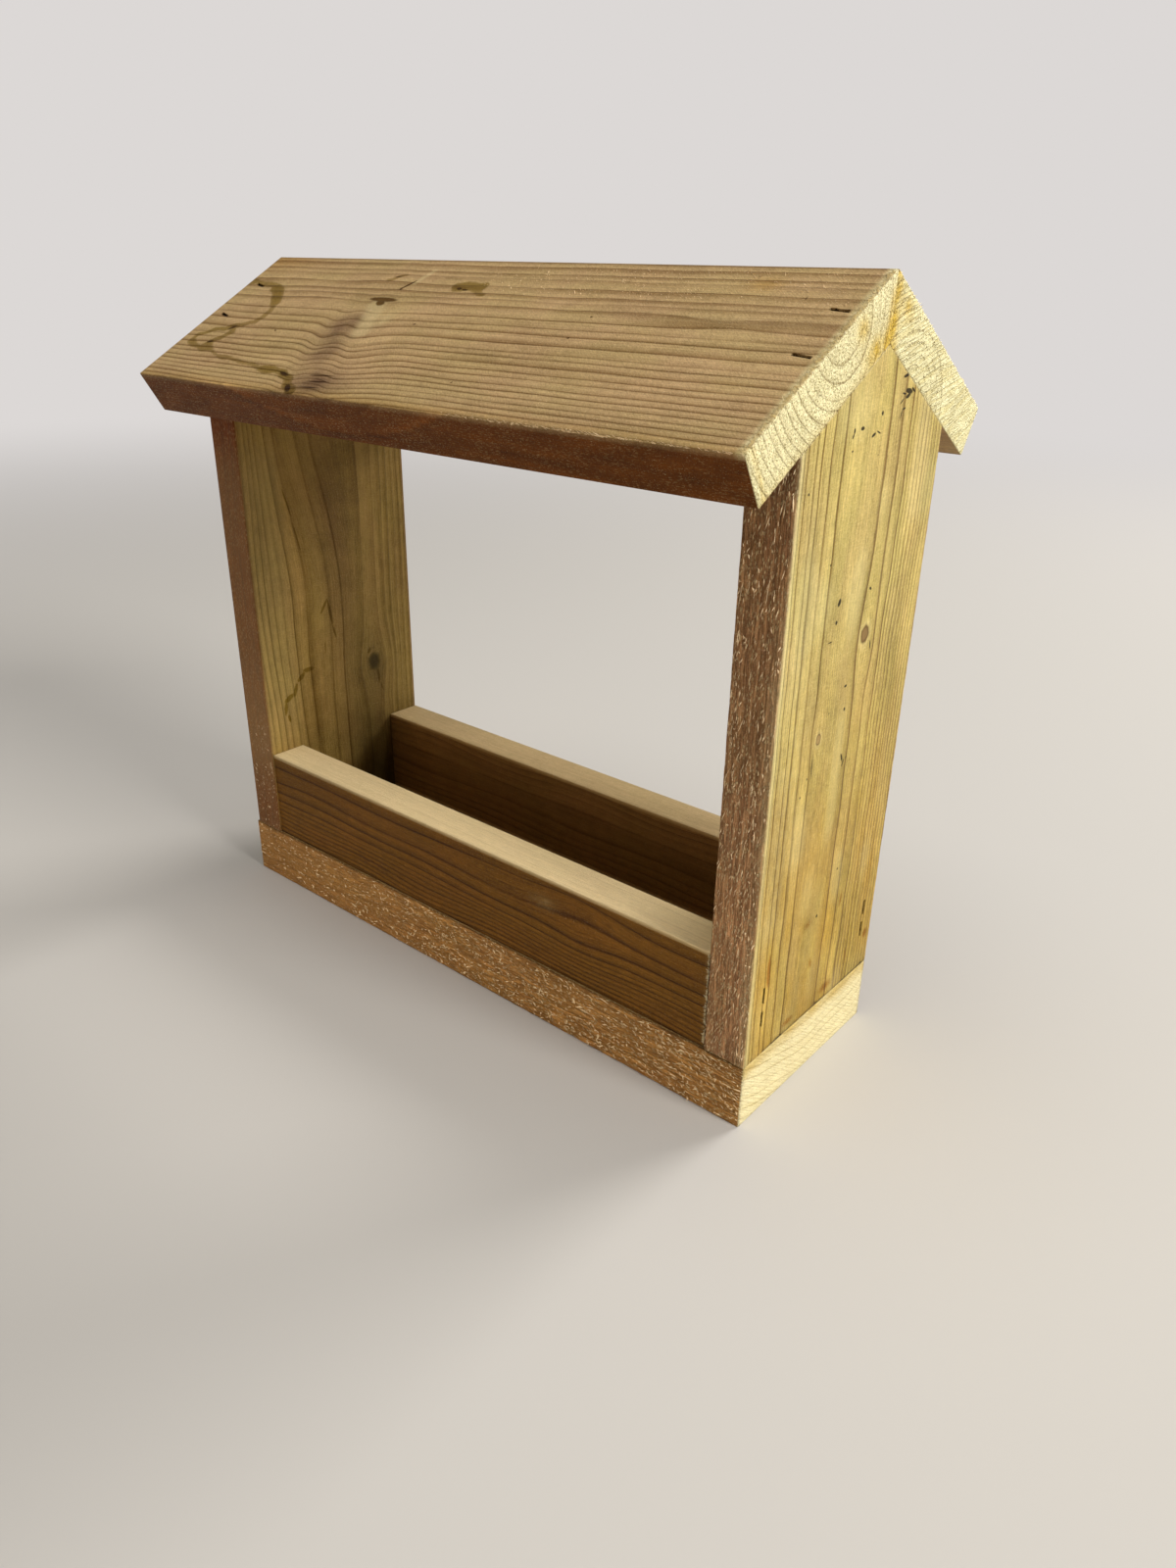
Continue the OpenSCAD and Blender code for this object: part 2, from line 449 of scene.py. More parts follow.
def wood(name, face, edge, end, lines, bands=1, streaks=1, clouds=1, sparkle=0.5, calm=0.5,
         kerf=0.4, fuzz=0.15, pores=1, smooth=0, smooth_end=0, dots=0, nap_turn=-42, slant=0,
         saw_turn=35, knots=(), inks=(), browns=(), brown="#8c6c44"):
    """Softwood. face, edge and end are each an early and a late wood colour.

    lines, bands, streaks, clouds, sparkle, kerf, fuzz and pores scale the marks of those kinds, the
    sparkle marks being painted glints.
    calm fades the rings on the edges, and smooth and smooth_end fade the patches on edges and ends.
    dots breaks the late wood of an end into dark pores. nap_turn, slant and saw_turn turn the raised
    nap of the face, the torn flecks of a sawn edge and the saw marks of an end, in degrees.
    knots, inks and browns are small features by place, and brown is the colour of the last.
    The board holds what is read here: ring, flow, place, kind (end, edge, sawn), marks (stain, dirt,
    tone) and tint (violet, amber, pale). dirt also holds painted shade in the staples' slots and behind
    the front rail, tone also holds painted light and shade, and pale also holds painted highlights.
    """
    m = material_nodes(name)
    ring = m.read("ring", "Fac")
    flow = m.read("flow")
    is_end, is_edge, is_sawn = m.split(m.read("kind"))
    stain, dirt, tone_and_shade = m.split(m.read("marks"))
    violet, amber, pale = m.split(m.read("tint"))

    def grain(along, across, detail=2, rough=0.5, distort=0):
        return m.noise(m.scale(flow, (along, across, across)), 1, detail, rough, distort)

    def lift(value, amount, base):
        return m.gain(m.math("SUBTRACT", value, 0.5), amount, base)

    # growth rings: a soft band that darkens outwards and ends in a thin sharp line
    number = m.gain(grain(0.03, 0.5, 3), 0.16, ring)
    phase = m.math("FRACT", number)
    band = m.ramp(phase, [(0, 0.45), (0.08, 0.1), (0.3, 0.05), (0.55, 0.35), (0.85, 1), (0.95, 1),
                          (1, 0.45)])
    thin = m.ramp(phase, [(0, 0.4), (0.03, 0), (0.84, 0), (0.92, 0.7), (0.95, 1), (0.985, 1), (1, 0.4)])
    luck = m.add("TexWhiteNoise", {"W": m.math("FLOOR", number)}, noise_dimensions="1D").outputs[0]
    fade = m.between(grain(0.015, 0.2), 0.2, 0.65)
    force = m.times(m.gain(luck, 0.6, 0.55), m.gain(fade, 0.6, 0.4))
    force = m.times(force, m.gain(is_sawn, -0.75))
    force = m.times(force, m.gain(is_edge, -calm))
    band = m.times(band, m.times(force, bands), clamp=True)
    band = m.times(band, m.gain(is_end, -0.6))
    thin = m.times(thin, m.times(force, lines), clamp=True)

    def side(pair):
        colour = m.mix(m.times(band, 0.75), pair[0], pair[1])
        return m.mix(m.times(thin, 0.8), colour, m.mix(1, pair[1], "#c6b184", "MULTIPLY"))

    m.colour = m.mix(is_end, m.mix(is_edge, side(face), side(edge)), side(end))

    # streaks and patches, darker ones warmer than pale ones
    streak = grain(0.02, 1.3, 4, 0.65)
    hair = m.between(grain(0.008, 1.6, 1), 0.55, 0.75)
    fine = grain(0.2, 3.4, 2, 0.6)
    broad = grain(0.012, 0.06, 3)
    cloud = grain(0.09, 0.09, 4, 0.6)
    planed = grain(1.1, 0.3, 2, 0.6)
    grit = grain(1.6, 2, 2, 0.7)
    nap = m.noise(m.scale(m.turned(flow, nap_turn, "Z_AXIS"), (0.35, 2.2, 1)), 1, 2, 0.6)
    shade = lift(streak, 0.7 * streaks, 0)
    shade = lift(fine, 0.8 * streaks, shade)
    shade = m.gain(hair, -0.12 * streaks, shade)
    for value, amount in ((nap, fuzz), (grit, 0.45), (planed, 0.3), (broad, 0.45), (cloud, 0.4 * clouds)):
        shade = lift(value, amount, shade)
    shade = m.times(shade, m.gain(is_edge, -smooth))
    shade = m.times(shade, m.gain(is_end, -smooth_end))
    dim = m.math("ADD", tone_and_shade, 1)
    red, green, blue = [m.times(dim, m.gain(shade, warmth)) for warmth in (1, 1.06, 1.25)]
    light = m.add("CombineXYZ", {0: red, 1: green, 2: blue}).outputs[0]
    m.colour = m.mix(1, m.colour, light, "MULTIPLY")
    hue = m.between(grain(0.02, 0.05, 3, 0.6), 0.35, 0.65)
    plain = m.math("MAXIMUM", is_end, m.times(is_edge, calm))
    m.stain(m.mix(hue, "#fff9f2", "#fbfbea"), m.gain(plain, -0.9))

    m.stain("#a89a9c", m.times(violet, 0.9))
    m.stain("#ecd074", m.times(amber, 0.8))
    m.bleach("#ecdc9c", m.times(pale, 0.8), 0.5)

    # painted glints of raised fibres catching the light, and furrows and torn flecks on rough sawn faces,
    # the flecks pale torn wood with a painted highlight
    glint = m.between(grit, 0.6, 0.72)
    m.bleach("#f6e6bc", m.times(glint, 0.5 * sparkle), 0.6)
    furrow = m.times(m.between(grain(0.07, 1.3, 4, 0.65, 0.2), 0.38, 0.56), is_sawn)
    m.stain("#a08474", m.times(m.math("SUBTRACT", is_sawn, furrow), 0.45))
    tilted = m.scale(m.turned(flow, slant, "Y_AXIS"), (0.45, 1.5, 1.5))
    torn_up = m.add("TexVoronoi", {"Vector": tilted, "Scale": 1}).outputs["Distance"]
    fleck = m.times(m.between(torn_up, 0.37, 0.24), m.times(is_sawn, m.between(cloud, 0.36, 0.5)))
    m.bleach("#f4d69c", fleck, 0.75)

    # pores, pale fluff and saw marks on the ends
    speck = grain(1.9, 1.9, 3, 0.75)
    pore = m.times(m.between(speck, 0.54, 0.6), m.times(is_end, pores))
    m.stain("#b09c60", m.times(pore, 0.85))
    if dots:
        dark = m.times(m.between(phase, 0.6, 0.85), m.between(speck, 0.49, 0.54))
        m.stain("#8e7a4c", m.times(dark, m.times(is_end, dots)))
    fluff = m.times(m.between(speck, 0.46, 0.39), m.times(is_end, m.gain(amber, -0.8, clamp=True)))
    m.bleach("#ffefb4", m.times(fluff, 0.6), 0.6)
    sweep = m.noise(m.scale(m.turned(flow, saw_turn, "X_AXIS"), (0, 1, 0.07)), 1, 1)
    tooth = m.times(m.between(sweep, 0.42, 0.6), m.times(is_end, kerf))
    m.stain("#d6c690", m.times(tooth, 0.35))

    # stains with crisp uneven edges, and dirt that breaks up into small ink-like marks where it is thin
    ragged = grain(0.5, 0.5, 3, 0.65)
    wet = m.between(lift(ragged, 0.5, stain), 0.3, 0.6)
    m.stain("#bbb37e", m.times(wet, m.gain(stain, 0.7, 0.3)))
    inky = m.between(lift(grain(0.6, 1.5, 3, 0.6, 1.2), 1.6, dirt), 0.46, 0.58)
    inky = m.math("MAXIMUM", inky, m.times(dirt, 0.3))
    m.stain("#4a453f", inky)

    place = m.read("place")

    def blots(patches):
        """Small soft-edged patches on the shown face, each as the lists of marks below say."""
        total = 0
        for x, y, half_long, half_wide, turn, strength in patches:
            inputs = {"Vector": place, "Location": (x, y, 0), "Rotation": (0, 0, math.radians(turn)),
                      "Scale": (half_long, half_wide, 2)}
            reach = m.length(m.add("Mapping", inputs, vector_type="TEXTURE").outputs[0])
            near = m.gain(reach, -1.2 * strength, 1.6 * strength, clamp=True)
            total = m.math("MAXIMUM", total, near)
        return m.between(lift(m.noise(place, 1.6, 3, 0.65), 0.7, total), 0.3, 0.75)

    if browns:
        m.stain(brown, blots(browns))
    if inks:
        m.stain("#504c48", blots(inks))

    where = m.in_object()
    for centre, radii, strength, heart, rim, glow in knots:
        away = m.add("VectorMath", {0: where, 1: centre}, operation="SUBTRACT").outputs[0]
        reach = m.length(m.scale(away, [1 / (r * MM) for r in radii]))
        reach = lift(m.noise(where, 400, 2), 0.45, reach)
        m.bleach("#e6d49a", m.times(m.between(reach, 2.1, 1.25), glow), 0.5)
        tint = m.ramp(m.times(reach, 0.4), [(0, heart), (0.25, heart), (0.35, rim), (1, rim)])
        m.colour = m.mix(m.times(m.between(reach, 1.25, 0.85), strength), m.colour, tint)

    rough = m.gain(streak, 0.25, 0.42)
    height = m.gain(streak, 0.5, m.times(band, 0.9))
    for value, amount in ((thin, -0.5), (grit, 0.6), (planed, 0.5), (furrow, 1.4), (fleck, 1.2),
                          (pore, -0.8), (tooth, -0.8)):
        height = m.gain(value, amount, height)
    return m.finish(m.colour, rough, m.bump(height, 0.0004), specular=0.12)


def staple_steel():
    m = material_nodes("staple_steel")
    grime = m.noise(m.scale(m.in_object(), (900, 900, 900)), 1, 3, 0.6)
    colour = m.ramp(grime, [(0.3, "#2a2825"), (0.7, "#62605c")])
    return m.finish(colour, m.gain(grime, 0.3, 0.3), m.bump(grime, 0.0001), metal=1)


def fibre_material(name, pale, dark):
    m = material_nodes(name)
    return m.finish(m.mix(m.noise(m.in_object(), 700, 2), dark, pale), 0.75)


# Staples' slots

SLOT_L, SLOT_W, SLOT_DEEP, SLOT_OVER = 7.6, 1.5, 1.2, 1
OVAL_L, OVAL_W, OVAL_POINTS = 9.2, 4.8, 20


def slot_cutter(centre, x_axis, normal, seed):
    """The ragged recess that the driver blade leaves over a staple's crown, in millimetres."""
    dice = np.random.default_rng(seed)
    x_axis, normal = Vector(x_axis).normalized(), Vector(normal).normalized()
    y_axis = normal.cross(x_axis)
    count = OVAL_POINTS
    ring = []
    for k in range(count):
        t = 2 * math.pi * (k + 0.5) / count
        x = np.clip(math.cos(t) * OVAL_L / 2, -SLOT_L / 2, SLOT_L / 2)
        y = np.clip(math.sin(t) * OVAL_W / 2, -SLOT_W / 2, SLOT_W / 2)
        ring.append((x + dice.normal() * 0.08, y + dice.normal() * 0.07))
    co = []
    for z in (-SLOT_DEEP, SLOT_OVER):
        co += [(Vector(centre) + x_axis * x + y_axis * y + normal * z) * MM for x, y in ring]
    faces = [list(range(count))[::-1], list(range(count, 2 * count))]
    faces += [[k, (k + 1) % count, (k + 1) % count + count, k + count] for k in range(count)]
    return new_mesh("slot", [tuple(c) for c in co], faces)


# The boards of this feeder

base_low, base_high = box_mm("base")
right_low, right_high = box_mm("end_panel_right")
left_low, left_high = box_mm("end_panel_left")
rail_low, rail_high = box_mm("front_rail")
back_low, back_high = box_mm("back_rail")
roof_low, roof_high = box_mm("roof_front")
BASE_L, BASE_W, BASE_T = base_high - base_low
PANEL_T, PANEL_W, PANEL_H = right_high - right_low
RAIL_L, RAIL_T, RAIL_H = rail_high - rail_low
ROOF_L = roof_high[0] - roof_low[0]
ROOF_W = round((roof_high[1] - roof_low[1]) / COS, 2)
ROOF_T = round((roof_high[2] - roof_low[2] - ROOF_W * SIN) / COS, 2)
CROWN_W, WIRE_T, ROOF_STAPLE_UP, ROOF_STAPLE_PITCH = 6.4, 1, 10.5, 24
RAIL_STAPLE_PITCH, BASE_STAPLE_IN = 11, 6


RIGHT, LEFT, BACK, UP, DOWN = (1, 0, 0), (-1, 0, 0), (0, 1, 0), (0, 0, 1), (0, 0, -1)


def roof(node, side):
    across, through = (0, side * COS, -SIN), (0, -side * SIN, -COS)
    size = (ROOF_L, ROOF_W, ROOF_T)
    return Board(node, "roof_wood", (roof_low[0], 0, roof_high[2]), RIGHT, across, through, size, "mitred")


def panel(node, low, high):
    size = (PANEL_H, PANEL_W, PANEL_T)
    return Board(node, "panel_wood", (high[0], low[1], low[2]), UP, BACK, LEFT, size, "gabled")


def flat_board(node, slot, low, high, across, through, size):
    return Board(node, slot, (low[0], low[1], high[2]), RIGHT, across, through, size)


boards = {board.node: board for board in (
    roof("roof_front", -1), roof("roof_back", 1), panel("end_panel_right", right_low, right_high),
    panel("end_panel_left", left_low, left_high),
    flat_board("front_rail", "rail_wood", rail_low, rail_high, DOWN, BACK, (RAIL_L, RAIL_H, RAIL_T)),
    flat_board("back_rail", "rail_wood", back_low, back_high, DOWN, BACK, (RAIL_L, RAIL_H, RAIL_T)),
    flat_board("base", "base_wood", base_low, base_high, BACK, DOWN, (BASE_L, BASE_W, BASE_T)))}


def roof_slots(board, side):
    tools = []
    along, across, through = (Vector(a) for a in board.axes)
    for end, turn, low in ((-1, 15, left_low), (1, 8, right_low)):
        lean = math.radians(turn)
        heading = along * math.cos(lean) + across * math.sin(lean)
        x = low[0] + PANEL_T / 2 - side * end * (CROWN_W - WIRE_T) / 4 - roof_low[0]
        for row in (0, 1):
            down = PANEL_W / 2 / COS - ROOF_STAPLE_UP - row * ROOF_STAPLE_PITCH
            tools.append(slot_cutter(board.on_face(x, down) / MM, heading, -through, 10 + end + row * 3))
    return tools


def panel_slots(end):
    tools = []
    face = right_high[0] if end > 0 else left_low[0]
    for low, high, up in ((rail_low, rail_high, 1), (back_low, back_high, 4)):
        middle = (low + high) / 2
        for row in (-1, 1):
            centre = (face, middle[1], middle[2] + up + row * RAIL_STAPLE_PITCH / 2)
            tools.append(slot_cutter(centre, UP, (end, 0, 0), 40 + end + row * 2 + up))
    return tools


def base_slots():
    rows = ((-1, -rail_high[1]), (1, back_low[1]))
    return [slot_cutter((low[0] + PANEL_T / 2, side * (inner - BASE_STAPLE_IN), 0), RIGHT, DOWN, 60 + side)
            for low in (left_low, right_low) for side, inner in rows]


def sawn_relief(seed):
    """Furrows a few tenths of a millimetre deep that a saw leaves on the long edges."""
    def relief(co):
        l, a, b = co.T
        depth = 0.35 * mottle(seed, l / 9, b / 1.7) * mottle(seed + 1, l / 3.5, b / 1.1)
        depth += 0.12 * mottle(seed + 2, l / 1.7, b)
        co[:, 1] = a + depth * rise(a, 1.4, 0.2) - depth * rise(a.max() - a, 1.4, 0.2)
        return co
    return relief


def from_top(top, marks):
    """Marks measured down from that height, as marks measured up from the board's foot."""
    return [(top - down, across, half_long, half_wide, -turn, strength)
            for down, across, half_long, half_wide, turn, strength in marks]


# Small marks by place on a face: along, across, half length, half width, turn in degrees and strength
ROOF_MARKS = [
    (103, 30, 9.5, 1.7, 1, 1), (103.5, 32.4, 3.2, 2, 20, 1), (108.4, 18.8, 4.4, 0.8, -56, 1),
    (106.5, 21.8, 0.9, 1.3, -15, 1), (97, 13.3, 4.8, 1.1, -12, 0.5), (139.5, 20.3, 1.8, 1, 10, 0.9),
    (143, 20.8, 2.5, 0.9, 5, 0.7), (218, 34, 0.8, 0.7, 0, 0.7), (217, 47, 0.8, 0.6, 0, 0.7),
    (136, 45, 1, 1, 0, 0.6), (58, 56, 1.2, 0.6, 30, 0.7), (185, 77, 0.9, 0.7, 0, 0.6),
    (295, 18, 0.8, 1.8, 0, 0.45), (27, 56.5, 3.2, 1.4, -35, 0.7), (23, 67.5, 2.6, 1.2, -20, 0.7),
    (94, 83, 5, 1.4, 15, 0.7), (105, 91, 4, 1.6, 40, 0.8), (116, 81.5, 9, 0.7, -4, 0.7),
    (118, 85.2, 8, 0.7, -4, 0.7), (117, 89, 7, 0.6, -4, 0.6)]

# The long water stain on the front of the roof, and shorter ones: strength, points, half width, fading
LONG_STAIN = [(0, 21), (12, 22), (24, 24), (30, 29), (36, 36.4), (38.5, 42), (40, 46.6), (38.5, 51.8),
              (28, 54.4), (24, 57.5), (14, 59.5), (8.3, 64), (8.5, 67.8), (13, 70.4), (19, 72), (29, 73.6),
              (48, 77.4), (67, 79.4), (76, 81)]
SHORT_STAINS = [
    (1, [(24, 25), (30, 29), (36, 36)], 2.2, 2.2),
    (0.85, [(28, 55), (31, 60), (24, 66), (22, 69), (29, 73)], 1, 2),
    (1, [(76, 81), (90, 82), (97, 84), (102, 88.5), (109, 93)], 1.2, 2.2),
    (1, [(137, 19), (150, 18.5)], 2, 2.5),
    (0.8, [(146, 20), (154, 23)], 0.8, 1.6),
    (0.7, [(92, 15), (101, 12.5)], 0.8, 1.6)]


# In the makers l, a and b say where the mesh's points are, along, across and through the board, v is how
# far they are below a height, and flat is the place across the grain, bent as the growth rings are

def make_roof_front(board):
    l, a, b = board.make((1.25, 1.25, 1.9), cuts=roof_slots(board, -1))
    on_top = shown(b)
    is_end = at_ends(l, ROOF_L)
    to_right_end = ROOF_L - l

    # growth rings, pushed aside by the wavy patch
    crest = np.interp(a, [0, 20, 40, 50, 55, 61, 65, 72, 80, 94],
                      [107, 105, 98, 99, 101, 106, 108.5, 113.5, 116, 121])
    ahead = np.interp(a, [40, 55, 61, 66, 72, 94], [9, 10.5, 12.5, 15, 18, 18])
    t = l - crest
    size = np.interp(a, [0, 20, 35, 50, 62, 76, 94], [-0.25, 0.05, 0.35, 0.8, 1, 0.85, 0.7])
    size *= 1 - 0.8 * rise(b, 1, 12)
    second = np.where(t < 8, np.exp(-((t - 8) / 5) ** 2), np.exp(-((t - 8) / 16) ** 2))
    shift = size * (3 * (1 - rise(t, 4, 45)) + 2.8 * np.exp(-((t + ahead) / 6.5) ** 2) + 2.2 * second)
    flat = a - shift + 0.3 * ripple(3, (200, 80), l, a) * rise(l, 260, 60)
    ring = rings(flat - 35, b, [3, 8, 12, 18, 23, 25.6, 30, 34, 37, 41, 44, 47, 50, 53, 56, 59],
                 [5, 9, 12.5, 18, 23.5, 26.5, 31.5, 35], 4,
                 1.2 + 3.3 * rise(l - 2 * np.abs(flat - 33), 215, 275))
    ring = np.where(b > 1.2, np.maximum(ring, 1.15), ring)
    ring = np.where((is_end > 0.5) & (ring < 2.5), 2.5 + 0.15 * (ring - 2.5), ring)
    ring += 0.05 * ripple(5, (90, 30), l, a)

    # water stains, the violet patch (grey-violet wood, darkened a little with painted shade beside the
    # crest), a painted shade line along the ridge, and the crescent on the eave's edge
    wl, wa = l + 0.5 * ripple(8, (18, 18), l, a), a + 0.5 * ripple(9, (18, 18), l, a)
    stain = line(wl, wa, LONG_STAIN, np.where(wa > 71, 0.4, 0.9), 2) * np.where(wl > 29, 0.72, 0.85)
    for strength, points, width, soft in SHORT_STAINS:
        stain = np.maximum(stain, strength * line(wl, wa, points, width, soft))
    violet = 0.9 * spot(l, a, 97, 49, 9, 12, 12) + 0.8 * spot(l, a, 103, 66, 8, 9, 12)
    violet = (violet + 1.1 * spot(l, a, 116, 86, 15, 9)) * (0.7 + 0.45 * mottle(6, l / 4, a / 3))
    tone_and_shade = -0.12 * spot(l, a, 285, 32, 45, 2.2) - 0.3 * rise(a, 1.6, 0.4)
    tone_and_shade = tone_and_shade - 0.06 * np.clip(violet, 0, 1) - 0.06 * rise(a, 66, 80) * rise(l, 140, 180)
    rim = 15.5 - 14.5 * ((l - 130) / 64) ** 2
    crescent = 0.4 * rise(b, rim - 7, rim - 0.5) * rise(b, rim + 0.5, rim - 0.5)
    crescent = (crescent - 0.25 * spot(b, 0, rim + 1, 0, 1.2, 1)) * (rim > 0)
    crescent = (crescent + 0.1 * ripple(17, (60, 8), l, b)) * rise(a, 92.5, 93.3)

    # resin; painted highlights on the lit side of the wavy patch and along the slit above it; pale fuzz at
    # the right end, brightened with painted sunlight; and pale torn fibres on the eave's top arris
    amber = 0.7 * spot(l, a, 0, 0, 30, 10) + 0.4 * rise(a, 88, 94) + 0.6 * spot(l, a, 276, 11, 7, 4)
    pale = 0.55 * line(l, a, [(102.5, 34), (107, 42), (111, 52)], 2, 5) + 0.5 * spot(l, a, 117, 44, 2.5, 4)
    pale += 0.6 * line(l, a, [(114.5, 8.5), (110.8, 17.5)], 0.5, 1.4)
    pale += 1.8 * rise(to_right_end, 4.5, 1) * (0.3 + 0.7 * mottle(7, l / 2, a / 1.3))
    pale += 0.4 * rise(a, 91, 93.5) * rise(l, 190, 215) * mottle(16, l / 1.3, a)
    mitre = a - board.start(b)
    honey = rise(mitre, 6, 1) * rise(b, 1, 8) + 1.2 * spot(a, b, 19, 16, 9, 4)
    honey = honey + 0.8 * spot(a, b, 25, 5, 4, 3.5) + 0.5 * rise(a, 88.5, 90) * rise(a, 92, 91)
    honey = honey * (0.5 + 0.9 * mottle(18, a / 1.2, b / 4)) + 0.3 * rise(b, 15, 19) * rise(a, 20, 30)
    end, edge, sawn = board.kinds(sawn_high=0.15)
    fringe = rise(to_right_end, 3.8, 1.2) * rise(mottle(20, l / 1.5, a / 1.1), 0.15, 0.6) * on_top
    flat_face = on_top * (1 - is_end)
    board.dress(ring, flat, 0, (stain * on_top, 0, tone_and_shade * on_top + crescent),
                (violet * flat_face, np.maximum(amber * flat_face, honey * is_end), pale * flat_face),
                (np.maximum(end, 0.9 * fringe), edge * (1 - on_top), sawn))
    # the edge colour, seen on the eave's edge, is darker wood with painted shade and painted warm reflected
    # light
    return wood("roof_wood_front", ("#c0a479", "#8e7048"), ("#693a0d", "#4b2808"), ("#fbf0bc", "#b8a46c"),
                lines=0.8, bands=1.3, streaks=0.8, sparkle=1.2, calm=0.7, kerf=0.2, fuzz=0.8,
                browns=ROOF_MARKS, brown="#867048")


def make_roof_back(board):
    l, a, b = board.make((2.5, 1.6, 1.9), cuts=roof_slots(board, 1))
    flat = a + 1.2 * ripple(13, (150, 70), l, a)
    is_end = at_ends(l, ROOF_L)
    pith_a, pith_b, ring_w = 39, 28 + 0.025 * (ROOF_L - l), 3.7
    ring = np.hypot(flat - pith_a, b - pith_b) / ring_w + 0.05 * ripple(15, (60, 30), l, a)
    ring = np.where((is_end > 0.5) & (flat > pith_a), np.minimum(ring, 7.2), ring)
    honey = is_end * (1.1 * rise(a - board.start(b), 8, 1) + 1.1 * spot(a, b, 14, 5, 5, 3))
    honey *= 0.5 + mottle(19, a / 1.2, b / 3)
    end, edge, sawn = board.kinds(sawn_high=0.15)
    board.dress(ring, flat, 500, (0, 0, 0), (0, honey, 0), (end, edge * (1 - shown(b)), sawn))
    return wood("roof_wood_back", ("#b89a6c", "#8a6b3e"), ("#9a7648", "#6d4c2a"), ("#fff6c2", "#b49c5e"),
                lines=0.25, bands=0.3, dots=0.75, kerf=1.1, saw_turn=-45, pores=0.6)


# The same on the outer face of the right panel, but measured down from the peak: black ones and brown
PANEL_INKS = [
    (25.1, 32.6, 1.1, 0.6, -10, 1), (26.6, 32, 1.1, 0.5, -30, 0.9), (31.3, 32.6, 0.5, 0.8, 0, 0.7),
    (24.7, 37.9, 0.7, 1.4, 0, 1), (27.5, 46.1, 1.6, 0.6, -70, 1), (26.9, 49.5, 1.8, 0.4, 70, 0.75),
    (21, 50.7, 0.9, 0.8, 0, 0.9), (34.3, 51, 0.5, 0.5, 0, 0.6), (10.2, 65, 2.2, 0.6, -80, 1),
    (15.3, 68.6, 2.9, 1, 80, 1), (16.8, 68.2, 2, 0.8, -72, 1), (15.9, 65, 1.6, 0.4, 80, 0.8),
    (15.1, 71.8, 1.9, 0.5, 62, 0.9), (18.3, 63.9, 1.8, 0.4, -55, 0.8), (20.8, 66.3, 1.5, 0.4, -80, 0.8),
    (22.6, 64.5, 2, 0.4, -18, 0.8), (81.6, 35.6, 1.7, 1.1, -30, 0.9), (88.6, 35, 0.9, 0.9, 0, 0.9),
    (95, 32, 0.4, 2.4, 0, 0.6), (67, 26.3, 0.6, 0.5, 0, 0.8), (81, 58, 1, 0.6, 60, 1),
    (115, 47.7, 0.6, 1.1, 0, 0.95), (124.3, 48.9, 0.9, 0.8, 0, 0.9), (122.7, 37.3, 0.5, 0.4, 0, 0.8),
    (144.5, 51.5, 2.4, 0.6, 25, 0.9), (147, 53, 2.2, 0.5, -25, 0.8), (145.5, 55, 0.6, 0.5, 0, 0.9),
    (141, 28.7, 7, 0.5, 3, 0.6), (150.9, 22.3, 0.6, 0.5, 0, 0.8), (144.8, 26, 0.6, 0.5, 0, 0.8),
    (103, 63.3, 3, 0.6, 12, 0.6), (41.5, 7, 0.6, 0.6, 0, 0.8), (212, 46.9, 0.8, 0.8, 0, 0.9),
    (196, 60, 0.6, 0.6, 0, 0.9)]
PANEL_BROWNS = [
    (221, 12.5, 9, 1.5, 2, 0.8), (234, 46, 5, 2.5, 20, 0.45), (213, 66.5, 6, 1.5, -10, 0.5),
    (254, 62, 4, 9, 0, 0.5), (243, 95, 3, 2.5, 0, 0.7), (213, 40, 4, 6, 0, 0.4), (255, 32, 3, 8, 0, 0.5),
    (246, 78, 6, 1.4, 8, 0.5)]


